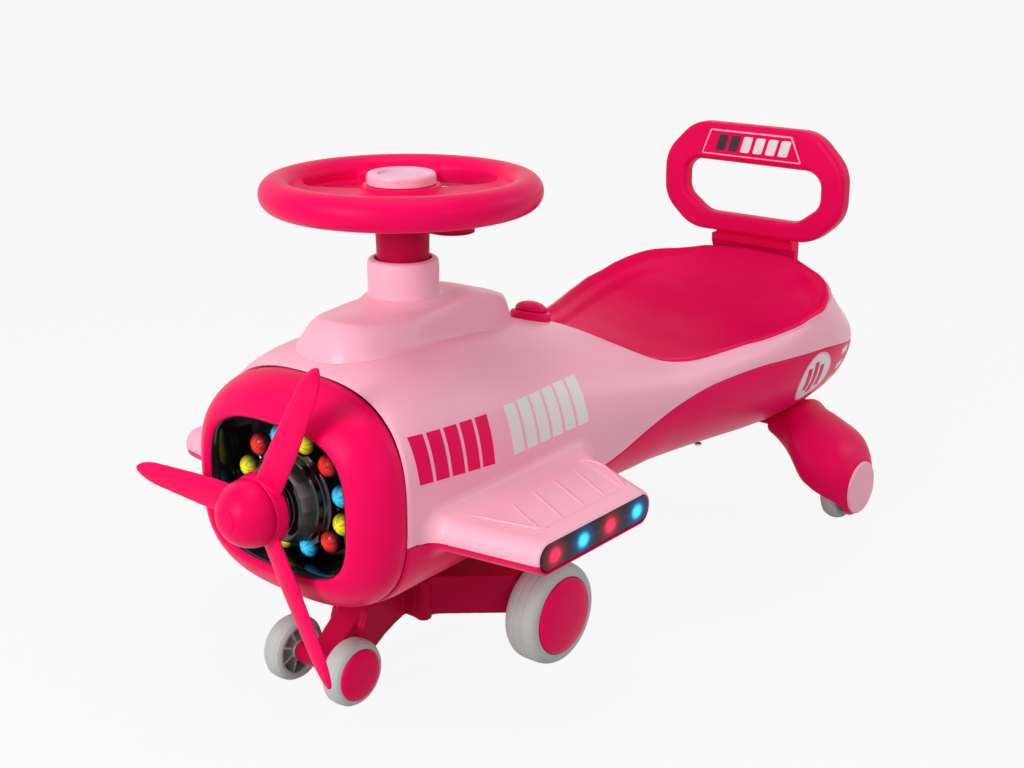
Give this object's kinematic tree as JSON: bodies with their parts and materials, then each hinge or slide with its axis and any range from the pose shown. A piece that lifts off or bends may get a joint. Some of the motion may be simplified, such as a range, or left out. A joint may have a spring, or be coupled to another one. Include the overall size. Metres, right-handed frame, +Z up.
{
  "type": "ride-on swing car",
  "caption": "Aeroplane-shaped ride-on swing car: bowl seat with backrest loop, steering wheel turning the front wheel frame, spinning propeller, light-strip wings, rear wheels in side legs.",
  "frame": {"origin": "middle of the whole object's footprint, on the floor", "axes": "+Z up; the nose and the propeller point along -Y; +X is on the left hand of a rider facing the nose"},
  "size_m": [0.4268, 0.867, 0.4404],
  "materials": {
    "hot_pink": "gloss moulded plastic",
    "pale_shell": "satin gloss moulded plastic",
    "crimson_shell": "satin moulded plastic",
    "black_gloss": "high gloss black",
    "lamp_yellow": "clear tinted lens",
    "lamp_red": "clear tinted lens",
    "lamp_blue": "clear tinted lens",
    "smoked_lens": "smoked clear strip",
    "label": "raised printed label",
    "steel": "zinc plated",
    "grey_tyre": "soft matte tyre",
    "grey_wheel": "satin wheel core"
  },
  "bodies": {
    "body": {"upper_shell": "pale_shell", "lower_shell": "hot_pink", "column_cover": "pale_shell", "nose_cowl": "hot_pink", "firewall": "black_gloss", "engine_liner": "black_gloss", "engine_core": "black_gloss", "engine_cylinders": "black_gloss", "engine_lenses_yellow": "lamp_yellow", "engine_lenses_red": "lamp_red", "engine_lenses_blue": "lamp_blue", "column_bushes": "black_gloss", "seat_pan": "hot_pink", "wing_top_left": "pale_shell", "wing_top_right": "pale_shell", "wing_base_left": "hot_pink", "wing_base_right": "hot_pink", "wing_lens_left": "smoked_lens", "wing_lens_right": "smoked_lens", "wing_lamps_red": "lamp_red", "wing_lamps_blue": "lamp_blue", "backrest_bracket": "hot_pink", "backrest_loop": "hot_pink", "backrest_label": "label", "rear_carriage": "hot_pink", "rear_leg_left": "hot_pink", "rear_leg_right": "hot_pink", "rear_pins": "steel", "leg_caps": "pale_shell", "button_base": "hot_pink", "body_screws": "steel"},
    "horn": {"horn_button": "hot_pink"},
    "steering": {"steering_wheel": "hot_pink", "hub_ring": "pale_shell", "wheel_box": "crimson_shell", "box_doors": "crimson_shell", "battery_cells": "steel", "column_sleeve": "crimson_shell", "steering_shaft": "steel", "shaft_nut": "steel", "steering_frame": "crimson_shell", "big_axle": "steel", "small_axle": "steel"},
    "hub_button": {"hub_button": "pale_shell"},
    "propeller": {"propeller": "hot_pink", "spinner": "hot_pink", "propeller_shaft": "steel"},
    "big_wheel_left": {"big_tyre_left": "grey_tyre", "big_core_left": "grey_wheel", "big_cap_left": "hot_pink"},
    "big_wheel_right": {"big_tyre_right": "grey_tyre", "big_core_right": "grey_wheel", "big_cap_right": "hot_pink"},
    "small_wheel_left": {"small_wheel_left": "grey_wheel", "small_cap_left": "hot_pink"},
    "small_wheel_right": {"small_wheel_right": "grey_wheel", "small_cap_right": "hot_pink"},
    "rear_wheel_left": {"rear_wheel_left": "grey_wheel"},
    "rear_wheel_right": {"rear_wheel_right": "grey_wheel"}
  },
  "joints": [
    {"name": "steering_turn", "type": "hinge", "parent": "body", "child": "steering", "pos_m": [0, -0.2215, 0.3], "axis": [0, 0, 1], "range_deg": [-90, 90]},
    {"name": "propeller_spin", "type": "hinge", "parent": "body", "child": "propeller", "pos_m": [0, -0.3975, 0.1886], "axis": [0, -1, 0], "continuous": true},
    {"name": "horn_press", "type": "slide", "parent": "body", "child": "horn", "axis": [0, -0.2118, -0.9773], "range_m": [0, 0.003], "stiffness_N_per_m": 400, "springref_m": -0.0006},
    {"name": "hub_press", "type": "slide", "parent": "steering", "child": "hub_button", "axis": [0, 0, -1], "range_m": [0, 0.0015], "stiffness_N_per_m": 500, "springref_m": -0.0005},
    {"name": "big_left_roll", "type": "hinge", "parent": "steering", "child": "big_wheel_left", "pos_m": [0.115, -0.1615, 0.047], "axis": [1, 0, 0], "continuous": true},
    {"name": "big_right_roll", "type": "hinge", "parent": "steering", "child": "big_wheel_right", "pos_m": [-0.115, -0.1615, 0.047], "axis": [1, 0, 0], "continuous": true},
    {"name": "small_left_roll", "type": "hinge", "parent": "steering", "child": "small_wheel_left", "pos_m": [0.0365, -0.3335, 0.0295], "axis": [1, 0, 0], "continuous": true},
    {"name": "small_right_roll", "type": "hinge", "parent": "steering", "child": "small_wheel_right", "pos_m": [-0.0365, -0.3335, 0.0295], "axis": [1, 0, 0], "continuous": true},
    {"name": "rear_left_roll", "type": "hinge", "parent": "body", "child": "rear_wheel_left", "pos_m": [0.156, 0.3115, 0.037], "axis": [1, 0, 0], "continuous": true},
    {"name": "rear_right_roll", "type": "hinge", "parent": "body", "child": "rear_wheel_right", "pos_m": [-0.156, 0.3115, 0.037], "axis": [1, 0, 0], "continuous": true}
  ]
}
